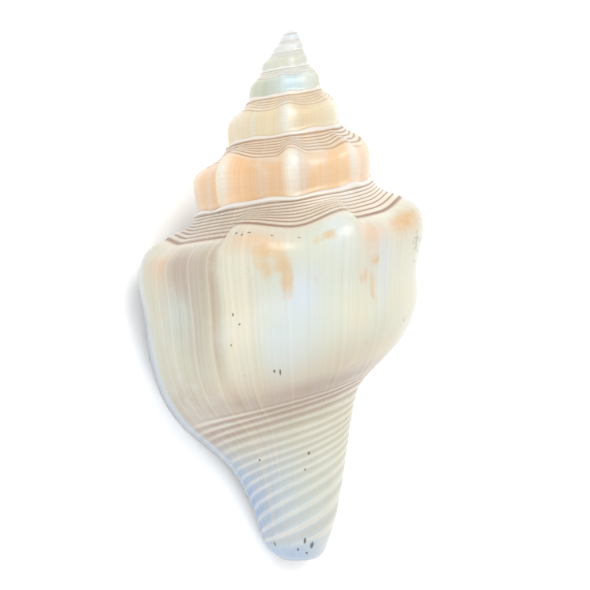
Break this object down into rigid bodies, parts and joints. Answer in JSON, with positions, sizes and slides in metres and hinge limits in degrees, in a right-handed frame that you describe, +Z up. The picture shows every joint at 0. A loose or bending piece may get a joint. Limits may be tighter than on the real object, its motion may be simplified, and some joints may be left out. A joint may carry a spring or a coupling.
{
  "type": "conch shell",
  "caption": "Knobbed spindle-shaped sea snail shell with a stepped spire, a wide open mouth and a long open canal, lying mouth down.",
  "frame": {"origin": "middle of the footprint, on the surface the shell lies on", "axes": "+Y towards the apex of the spire along the shell's length, +Z up, +X to the right seen from the canal"},
  "size_m": [0.0712, 0.1358, 0.0624],
  "materials": {
    "shell": "semi-gloss, cream with peach and ochre blotches"
  },
  "bodies": {
    "root": {"shell": "shell"}
  },
  "joints": []
}
